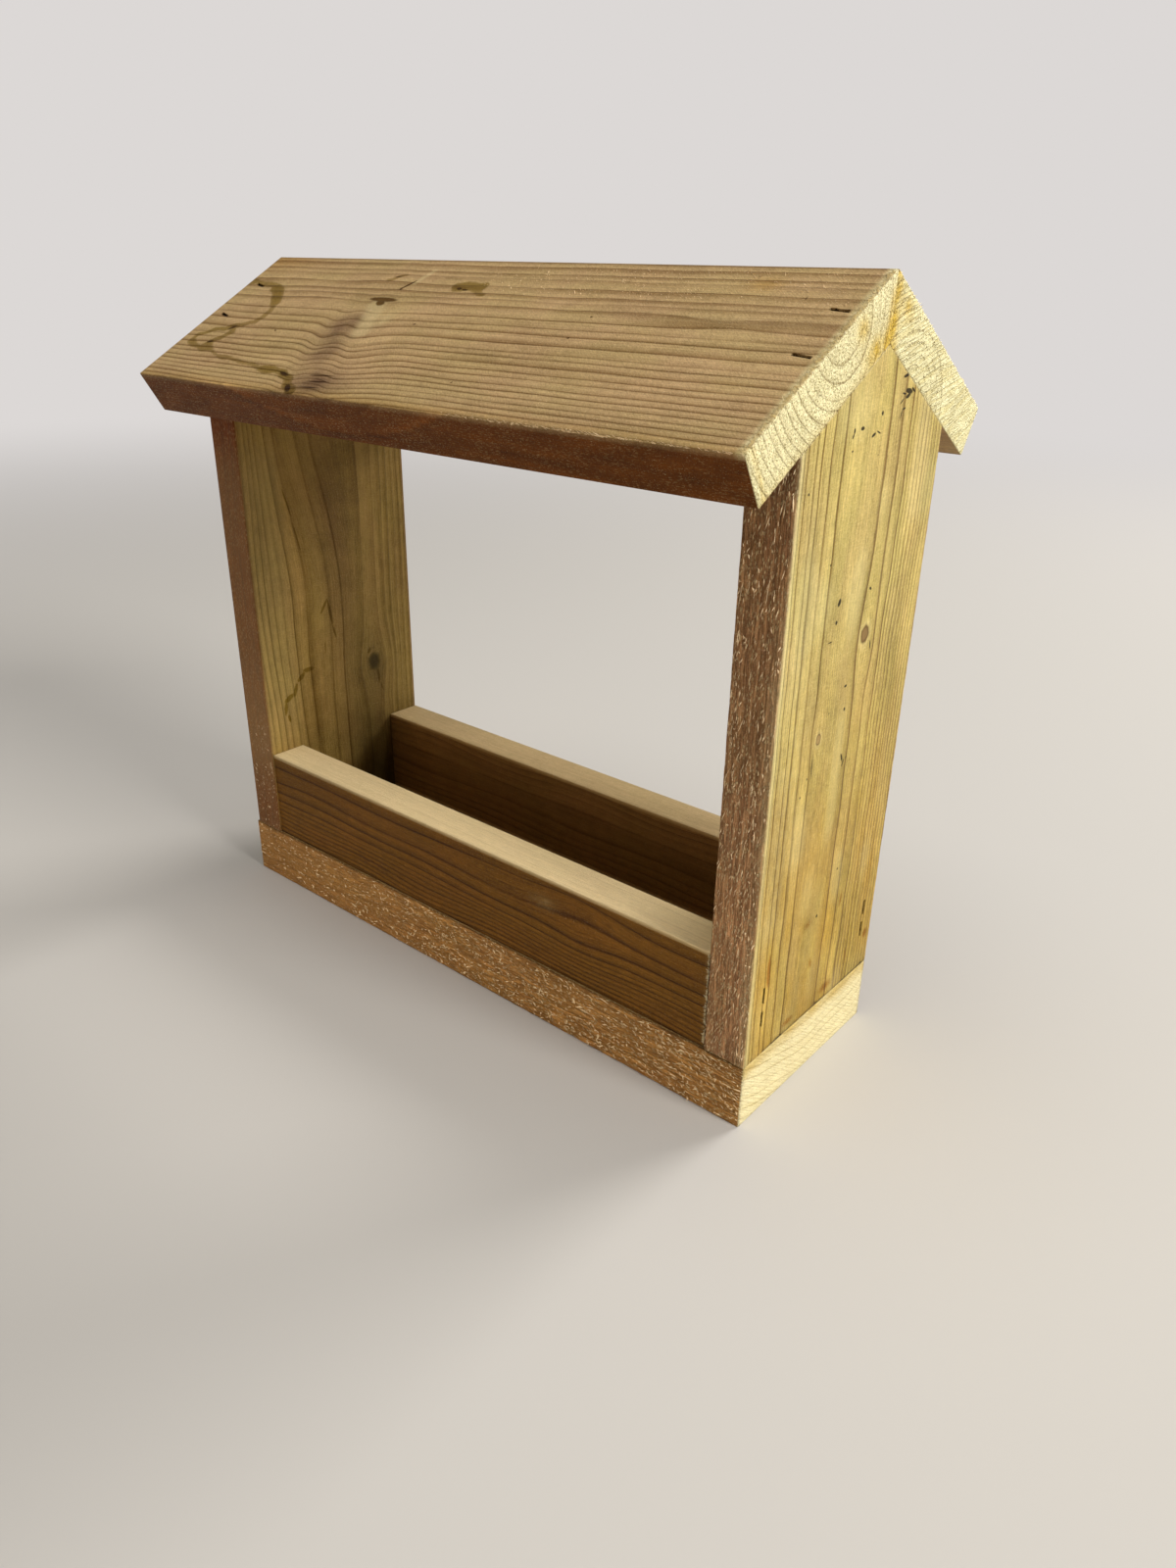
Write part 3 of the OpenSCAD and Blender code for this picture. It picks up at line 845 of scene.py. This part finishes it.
def make_panel_right(board):
    l, a, b = board.make((1.5, 1.25, 0.9), sawn_relief(27), panel_slots(1))
    v = PANEL_H - l
    on_face = shown(b)
    flat = a + 0.5 * ripple(23, (220, 90), l, a) + 0.15 * ripple(24, (35, 30), l, a)
    big, small = (98, 58), (131, 31.5)
    for (down, across), r in ((big, 4), (small, 2.4)):
        flat = bulge(flat, a - across, v - down, 4 * r, 1.8 * r, 0.85)
    flat += 3 * rise(a, 40, 60) * rise(v, 40, 115)
    ring = rings(flat - 41, b, [17.5, 26.5, 33.5, 35.5, 38, 41, 44, 47, 49, 51.5, 54],
                 [15, 22.3, 28.5, 31.5, 37, 38.5], -26)
    dirt = 0.3 * spot(v, a, 39, 3, 4, 1.6) + 0.35 * spot(v, a, 146, 51.5, 5, 2)
    dirt = dirt + 0.3 * spot(v, a, 210, 39, 8, 5) + 0.35 * spot(v, a, 85, 35.5, 5, 1.6)
    dirt += 0.8 * (1 - rise(l, 0.5, 3.4)) * mottle(30, l / 2, a / 5)
    dirt += 0.3 * spot(v, a, 105, 63.5, 4, 1.1)
    dirt = np.clip(dirt, 0, 1) * on_face
    # painted shade on the inner face in the recess behind the front rail, carried as dirt
    shade_behind_rail = 0.9 * far_side(b, PANEL_T) * rise(a, 4, 2) * rise(l, RAIL_H + 1, RAIL_H - 1)
    # painted light and shade: darker near the foot, a painted shadow line in the seam at the foot of the
    # outer face, and on the front edge painted shade under the roof and painted light towards the floor;
    # the front edge also lighter towards the outer arris
    tone_and_shade = 0.05 * ripple(31, (80, 30), l, a) - 0.1 * rise(l, 14, 0)
    tone_and_shade -= 0.4 * rise(l, 1.8, 0.5) * rise(a, 12, 20) * on_face
    tone_and_shade -= 0.09 * rise(a, 20, 30) * rise(a, 60, 48) * rise(v, 40, 60)
    tone_and_shade += close(a) * (0.22 * rise(v, 130, 260) - 0.3 * rise(v, 110, 20) + 0.12 * rise(b, 7, 1))
    amber = 0.85 * rise(v, 60, 230) * (0.55 + 0.6 * mottle(35, l / 18, a / 6))
    worn = 0.75 * close(a) * rise(b, 6, 0.5) * rise(v, 60, 110) * (0.5 + 0.6 * mottle(38, l / 25, b / 3))
    # a pale strip by the front arris and pale mottling, with painted glints of raised fibres on the middle
    # of the face
    pale = 1.2 * rise(a, 3.6, 1.4) + 0.5 * spot(v, a, 140, 12, 60, 9) * mottle(36, l / 2.2, a / 1.1)
    pale += 0.4 * rise(mottle(37, l / 30, a / 12), 0.6, 0.9)
    board.dress(ring, flat, 1000, (0, np.maximum(dirt, shade_behind_rail), tone_and_shade),
                (0, np.clip(amber, 0, 1) * on_face, np.maximum(np.clip(pale, 0, 1) * on_face, worn)),
                board.kinds(1, 1))
    knots = [(board.on_face(PANEL_H - big[0], big[1]), (5, 2.8, 3.4), 0.95, "#86683e", "#60441f", 0.3),
             (board.on_face(PANEL_H - small[0], small[1]), (3, 1.6, 2.2), 0.85, "#a08250", "#5c421e", 0.3)]
    # the edge colour, warmer than the face, holds painted warm reflected light
    return wood("panel_wood_right", ("#c9b472", "#8e7740"), ("#bd9066", "#8e6a46"), ("#d8c48a", "#a58a50"),
                streaks=1.8, clouds=1.1, lines=1.9, bands=0.8, sparkle=1.2, fuzz=0.5, nap_turn=-80,
                slant=-4, knots=knots, browns=from_top(PANEL_H, PANEL_BROWNS), brown="#d4b480",
                inks=from_top(PANEL_H, PANEL_INKS))


# The same on the inner face of the left panel, measured down from this height over its foot
LEFT_TOP = 233
LEFT_MARKS = [
    (147.5, 28, 1.5, 4, 0, 0.9), (150.5, 23.2, 3.8, 1.4, -50, 0.9), (156.5, 19, 4.2, 1.2, -20, 1),
    (160, 14.5, 3.8, 1.6, -60, 1), (165, 12, 4.5, 1.2, -8, 0.9), (171, 13.5, 2.8, 1, 10, 0.8),
    (116, 41.5, 5.5, 1, -35, 0.8), (120, 45, 8.5, 1, 9, 0.9), (131, 46.8, 4.5, 0.8, 14, 0.8),
    (60, 24.5, 9, 0.6, 16, 0.8), (79, 28.8, 9, 0.6, 12, 0.8), (138, 40, 6, 0.5, -6, 0.6),
    (163, 74.5, 5.5, 1, 6, 0.8), (170, 76.5, 3.5, 0.8, 20, 0.6), (147, 69, 2.5, 1.2, -30, 0.7)]


def make_panel_left(board):
    l, a, b = board.make((2, 1.4, 1.9), cuts=panel_slots(-1))
    v = LEFT_TOP - l
    on_face = shown(b)
    knot = (154, 72)
    flat = a + 0.8 * ripple(33, (160, 90), l, a)
    flat += 12 * (1 - rise(v, 15, 115)) * rise(a, 0, 24) * rise(a, 70, 40)
    flat -= 2.5 * spot(v, a, 75, 70, 40, 8)
    flat = bulge(flat, a - knot[1], v - knot[0], 16, 11, 0.8)
    ring = rings(flat - 58, b, [10, 20, 26, 30, 34, 38, 41], [6, 14.5, 29, 36, 41, 46, 50, 55], 14)
    # painted light and shade on the inner face: lighter at the front low down, darker under the roof and
    # towards the back, with a deep painted shadow low at the back and a darker knot; on the other faces
    # painted shade towards the roof
    tone_and_shade = 0.2 * spot(v, a, 150, 12, 70, 26) - 0.3 * spot(v, a, 158, 73, 13, 6) - 0.14 * rise(v, 60, 20)
    tone_and_shade = tone_and_shade - 0.14 * rise(a, 42, 60) - 0.6 * rise(v, 165, 222) * rise(a, 36, 72)
    tone_and_shade -= 0.1 * rise(v, 110, 160) * rise(a, 45, 60) * rise(a, 84, 70)
    tone_and_shade = tone_and_shade * on_face - 0.08 * rise(v, 110, 60) * (1 - on_face)
    violet = 0.8 * spot(v, a, 70, 52, 65, 15) * on_face
    amber = 0.35 * rise(v, 150, 230) * rise(a, 40, 5) * on_face
    # paler at the front of the inner face and low on the front edge, as painted light; the back edge paler
    pale = 0.25 * rise(v, 20, 50) * rise(v, 215, 180) * rise(a, 28, 14)
    pale = pale + 0.2 * close(a) * rise(v, 110, 190) + 0.35 * close(PANEL_W - a)
    board.dress(ring, flat, 1500, (0, 0, tone_and_shade), (violet, amber, pale), board.kinds(0.25, 0.25))
    heart = board.on_face(LEFT_TOP - knot[0], knot[1])
    # the edge colour, dark red-brown, is the wood's colour with painted shade and painted warm reflected
    # light
    return wood("panel_wood_left", ("#ad9052", "#84692f"), ("#7d4317", "#5c320d"), ("#d8c48a", "#a58a50"),
                lines=0.5, bands=1, streaks=1.2, clouds=1.6, fuzz=0.3,
                knots=[(heart, (6, 4, 4.8), 0.85, "#3c300f", "#54461c", 0)],
                browns=from_top(LEFT_TOP, LEFT_MARKS), brown="#c2ba80")


def make_front_rail(board):
    l, a, b = board.make((2, 1.5, 1.6))
    on_face = shown(b)
    flat = bulge(a + 0.7 * ripple(43, (140, 60), l, a), a - 14, l - 213, 22, 12, 0.7)
    ring = rings(flat + 5, b, [12, 21, 27, 32, 34.5, 37, 39.5, 42, 44.5, 47, 49.5], [8, 14], 6)
    dirt = 0.35 * spot(l, a, 146, 20, 6, 1.2)
    fleck = 0.5 * spot(l, a, 192, 12, 7, 3) * mottle(44, l / 1.5, a / 1.2)
    # painted light and shade: the top darker to the left, a painted shadow line along the foot of the front
    # face, and the front face lighter low down and to the right, darker at the top and the upper left
    tone_and_shade = -0.12 * (1 - rise(l, 20, 160)) * rise(a, 0.8, 0.3) - 0.55 * rise(RAIL_H - a, 1.4, 0.2) * on_face
    tone_and_shade = tone_and_shade + on_face * (0.06 * rise(a, 12, 26) + 0.05 * rise(l, 150, 260) - 0.09 * rise(a, 14, 6)
                             - 0.07 * rise(l, 120, 20) * rise(a, 40, 12))
    cream = 0.6 * rise(RAIL_L - l, 0.8, 0.3) * mottle(45, a / 1.4, b) * on_face
    end, edge, sawn = board.kinds()
    edge *= np.maximum(rise(a, 30, 20), rise(b, 0.2, 0.8))
    board.dress(ring, flat, 2000, (0, dirt * on_face, tone_and_shade),
                (0, 0, np.maximum(fleck * on_face, cream)), (end, edge, sawn))
    # the face colour, dark orange-brown beside the pale top, is the same wood with painted shade and
    # painted warm reflected light
    return wood("rail_wood_front", ("#80571d", "#5f4017"), ("#f2daa8", "#d6bb86"), ("#cbb078", "#97794a"),
                lines=1.7, bands=1.2, streaks=1.7, calm=0.85, smooth=0.75, fuzz=0.5)


def make_back_rail(board):
    l, a, b = board.make((2.5, 1.6, 1.9))
    flat = a + 0.7 * ripple(53, (140, 60), l, a)
    ring = rings(flat - 20, b, [7, 12, 16, 20, 23, 26], [6, 11, 15, 18, 22], 12)
    # the back face darker, and painted shade on the top towards the left end
    tone_and_shade = -0.22 * far_side(b, RAIL_T) - 0.12 * rise(l, 90, 0) * rise(a, 0.8, 0.3)
    board.dress(ring, flat, 2500, (0, 0, tone_and_shade), (0, 0, 0), board.kinds())
    # the face colour, darker than the top, is the same wood with painted shade
    return wood("rail_wood_back", ("#8c6c40", "#6a4c2a"), ("#d4ba8a", "#ae9160"), ("#cbb078", "#97794a"),
                lines=0.6, bands=0.6, calm=0.8, smooth=0.5)


def make_base(board):
    l, a, b = board.make((1.6, 2, 0.9), sawn_relief(67), base_slots())
    flat = a + 0.9 * ripple(63, (150, 90), l, a)
    ring = (np.hypot(flat - 62, b + 150) - 150) / 4.6 + 0.12 * ripple(64, (80, 40), l, a)
    is_end = at_ends(l, BASE_L)
    # painted light and shade: on the front edge lighter low down to the right, darker to the left and near
    # the right end; a painted shadow line along the front top arris, where the rail and panels stand; the
    # ends a little darker, more so near the top and the foot
    tone_and_shade = 0.12 * rise(l, 110, 200) * rise(b, 4, 20) - 0.12 * (1 - rise(l, 0, 140))
    tone_and_shade = (tone_and_shade - 0.12 * rise(l, 265, 317)) * close(a) - 0.6 * rise(b, 0.9, 0.1) * rise(a, 1, 0.3)
    tone_and_shade -= is_end * (0.14 * rise(b, 7, 2) + 0.05 * rise(b, 22, 28) + 0.04)
    amber = is_end * rise(b, 8, 1) * (0.4 + 0.6 * mottle(68, a / 9, b / 4))
    end, edge, sawn = board.kinds(1, 1)
    board.dress(ring, flat, 3000, (0, 0, tone_and_shade), (0.7 * close(BASE_W - a), amber, 0),
                (end, edge, sawn * (0.5 + 0.5 * rise(l, 30, 220))))
    # the edge colour, orange, holds painted warm reflected light
    return wood("base_wood", ("#c9ac78", "#9f8250"), ("#d69e5a", "#a0723a"), ("#fff0bc", "#ecd690"),
                lines=0.5, smooth_end=0.6, kerf=0.4, saw_turn=55, pores=0.2, slant=14)


makers = (make_roof_front, make_roof_back, make_panel_right, make_panel_left, make_front_rail,
          make_back_rail, make_base)
for board, maker in zip(boards.values(), makers):
    material = maker(board)
    thing, slot = board.thing, board.slot
    thing.data.materials.clear()
    thing.data.materials.append(material)
for thing in [o for o in bpy.context.scene.objects if o.name.startswith("slot")]:
    bpy.data.objects.remove(thing)


# Torn fibres

INSIDE = 0.01


def fibres(name, points, along, up, size, material, seed):
    """Closed slivers half sunk in the wood: a four-sided waist between two tips, in millimetres."""
    dice = np.random.default_rng(seed)
    count = len(points)
    along, up = unit(along), unit(up)
    aside = np.cross(along, up)
    length, width, lift = size
    length *= np.exp(dice.normal(0, 0.45, count))[:, None]
    width = width * np.exp(dice.normal(0, 0.3, count))[:, None] / 2
    lift *= np.exp(dice.normal(0, 0.5, count))[:, None]
    waist = points + along * length * dice.uniform(-0.2, 0.2, (count, 1))
    tail = points - along * length / 2 - up * 0.1
    tip = points + along * length / 2 + up * lift
    crown = waist + up * (lift * 0.6 + 0.05)
    co = np.stack([tail, waist - aside * width, crown, waist + aside * width, waist - up * 0.15, tip], 1)
    low, high = np.array(cad_box[0]) / MM + INSIDE, np.array(cad_box[1]) / MM - INSIDE
    co = np.clip(co.reshape(-1, 3), low, high) * MM
    one = np.array([[0, 2, 1], [0, 3, 2], [0, 4, 3], [0, 1, 4], [5, 1, 2], [5, 2, 3], [5, 3, 4], [5, 4, 1]])
    faces = (one[None] + 6 * np.arange(count)[:, None, None]).reshape(-1, 3)
    thing = new_mesh(name, co.tolist(), faces.tolist())
    thing.data.materials.append(material)
    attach(thing, "root")


def scatter(dice, count, ranges, clump, seed):
    """Seeded places in those ranges, some of them single numbers. clump gathers them in patches."""
    places = []
    while len(places) < count:
        place = [dice.uniform(*r) if isinstance(r, tuple) else r for r in ranges]
        in_patch = mottle(seed, place[0] / 9, sum(place[1:]) / 5) > 0.55
        if dice.random() < 1 - clump + clump * 1.6 * in_patch:
            places.append(place)
    return np.array(places)


def torn(name, node, seed, count, ranges, up, lean, size, material, clump, weight=None):
    """Torn fibres over one face of a board.

    ranges are places along, across and through the board, up is the face's outward direction, lean is
    how far the fibres slant, and size is their length, width and height. weight thins them by place.
    """
    dice = np.random.default_rng(seed)
    board = boards[node]
    local = scatter(dice, count, ranges, clump, seed)
    if weight is not None:
        local = local[dice.random(count) < weight(local)]
    n = len(local)
    heading = np.array(RIGHT) + np.array(lean) * dice.normal(1, 0.5, (n, 1))
    heading += 0.06 * dice.normal(size=(n, 3))
    heading *= dice.choice((-1, 1), (n, 1))
    outward = np.tile(np.array(up, float) @ board.axes, (n, 1))
    fibres(name, board.world(local) / MM, heading @ board.axes, outward, size, material, seed)


def denser_to_the_right(local):
    return 0.2 + 0.8 * local[:, 0] / BASE_L


SKIN = 0.1
TO_FRONT, TO_BACK, OUT = (0, -1, 0), (0, 1, 0), (0, 0, -1)
fibre = fibre_material("torn_fibre", "#fdebc2", "#d8b384")
pale_fibre = fibre_material("pale_fibre", "#fff6d6", "#ecd8a4")
tan_fibre = fibre_material("tan_fibre", "#fdeabc", "#e2bc84")
run, edge, tuft = (1, BASE_L - 1), (1, BASE_T - 1), (1.6, 0.34, 0.55)
torn("base_front_fibres", "base", 71, 2000, (run, SKIN, edge), TO_FRONT, (0, 0, 0.3), tuft, tan_fibre,
     0.3, denser_to_the_right)
torn("base_back_fibres", "base", 72, 900, (run, BASE_W - SKIN, edge), TO_BACK, (0, 0, 0.3), tuft,
     tan_fibre, 0.3)
run, edge = (1, 228), (0.7, PANEL_T - 0.7)
torn("panel_front_fibres", "end_panel_right", 73, 520, (run, SKIN, edge), TO_FRONT, (0, 0, -0.12),
     (2.3, 0.28, 0.5), fibre, 0.6)
torn("panel_back_fibres", "end_panel_right", 74, 400, (run, PANEL_W - SKIN, edge), TO_BACK, (0, 0, -0.12),
     (1.8, 0.32, 0.5), fibre, 0.6)
torn("left_panel_fibres", "end_panel_left", 79, 90, ((1, 60), SKIN, edge), TO_FRONT, (0, 0, 0.3),
     (1.4, 0.26, 0.3), fibre, 0.6)
width = (1, ROOF_W - 1)
torn("roof_back_end_fibres", "roof_back", 80, 420, ((ROOF_L - 1.6, ROOF_L - 0.3), width, SKIN), OUT,
     (0, 0.5, 0), (1.3, 0.24, 0.4), pale_fibre, 0.4)
torn("roof_end_fibres", "roof_front", 75, 900, ((ROOF_L - 2, ROOF_L - 0.3), width, SKIN), OUT,
     (0, 0.6, 0), (1.5, 0.2, 0.4), pale_fibre, 0.2)
torn("roof_eave_fibres", "roof_front", 76, 330, ((195, ROOF_L - 1), (ROOF_W - 0.7, ROOF_W - 0.1), 0.3),
     (0, 0.5, -1), (0, 0.3, 0), (1.8, 0.3, 0.4), fibre, 0.4)
torn("roof_face_fibres", "roof_front", 77, 560, ((150, 312), (3, 22), 0.12), OUT, (0, 0.9, 0),
     (1.3, 0.22, 0.28), fibre, 0.5)
torn("rail_end_fibres", "front_rail", 78, 190, ((RAIL_L - 1, RAIL_L - 0.3), (1, RAIL_H - 1), SKIN), OUT,
     (0, 1, 0), (1, 0.26, 0.4), pale_fibre, 0.7)

steel = staple_steel()
for node, thing in frame["nodes"].items():
    if "staple" in node:
        thing.data.materials.clear()
        thing.data.materials.append(steel)


# Floor, light and camera

BACKDROP = "#dcd8d6"


def stage_floor():
    """A pale floor that fades into the backdrop where the camera sees it far off."""
    bpy.ops.mesh.primitive_circle_add(vertices=96, radius=6, fill_type="NGON")
    floor = bpy.context.object
    floor.name = "floor"
    m = material_nodes("floor")
    far = m.between(m.length(m.in_object()), 0.55, 2.2)
    path = m.add("LightPath")
    seen = m.math("MAXIMUM", path.outputs["Is Camera Ray"], path.outputs["Is Glossy Ray"])
    plain = m.add("BsdfDiffuse", {"Color": "#c4c0ba"}).outputs[0]
    haze = m.add("Emission", {"Color": BACKDROP, "Strength": 1}).outputs[0]
    mixed = m.add("MixShader", {0: m.times(far, seen), 1: plain, 2: haze}).outputs[0]
    floor.data.materials.append(m.show(mixed))


def stage_world():
    """Weak even light, and the backdrop where the camera sees it."""
    m = Nodes(bpy.data.worlds.new("studio"))
    seen = m.add("LightPath").outputs["Is Camera Ray"]
    light = m.add("Background", {0: (0.95, 0.97, 1, 1), 1: 0.14}).outputs[0]
    backdrop = m.add("Background", {0: BACKDROP}).outputs[0]
    mixed = m.add("MixShader", {0: seen, 1: light, 2: backdrop}).outputs[0]
    bpy.context.scene.world = m.show(mixed, "World")


def lamp(name, place, aim, size, power, colour):
    data = bpy.data.lights.new(name, "AREA")
    data.shape = "DISK"
    data.size = size
    data.energy = power
    data.color = colour
    thing = bpy.data.objects.new(name, data)
    bpy.context.scene.collection.objects.link(thing)
    thing.location = place
    thing.rotation_euler = (Vector(aim) - Vector(place)).to_track_quat("-Z", "Y").to_euler()


stage_floor()
stage_world()
lamp("key", (2.35, 0, 1.6), (0, 0, 0.15), 1, 58, (1, 0.98, 0.94))
lamp("behind", (0.7, 2.2, 1.8), (0, 0, 0.1), 1.2, 54, (1, 0.98, 0.95))
lamp("overhead", (-0.2, -0.5, 2.6), (0, 0, 0.15), 1.8, 20, (1, 0.99, 0.97))
lamp("front", (-0.4, -2.4, 0.5), (0, 0, 0.12), 1.4, 9, (1, 0.74, 0.46))

CAMERA_PLACE = (0.33033, -0.35263, 0.31152)
CAMERA_HEADING, CAMERA_DOWN, CAMERA_ROLL = 39.777, 25.226, 0.998
camera = bpy.data.objects.new("camera", bpy.data.cameras.new("camera"))
bpy.context.scene.collection.objects.link(camera)
bpy.context.scene.camera = camera
camera.data.sensor_width = 36
camera.data.lens = 25.485
camera.data.clip_start = 0.01
camera.matrix_world = (Matrix.Translation(CAMERA_PLACE)
                       @ Matrix.Rotation(math.radians(CAMERA_HEADING), 4, "Z")
                       @ Matrix.Rotation(math.radians(90 - CAMERA_DOWN), 4, "X")
                       @ Matrix.Rotation(math.radians(CAMERA_ROLL), 4, "Z"))
bpy.context.scene.view_settings.view_transform = "Standard"
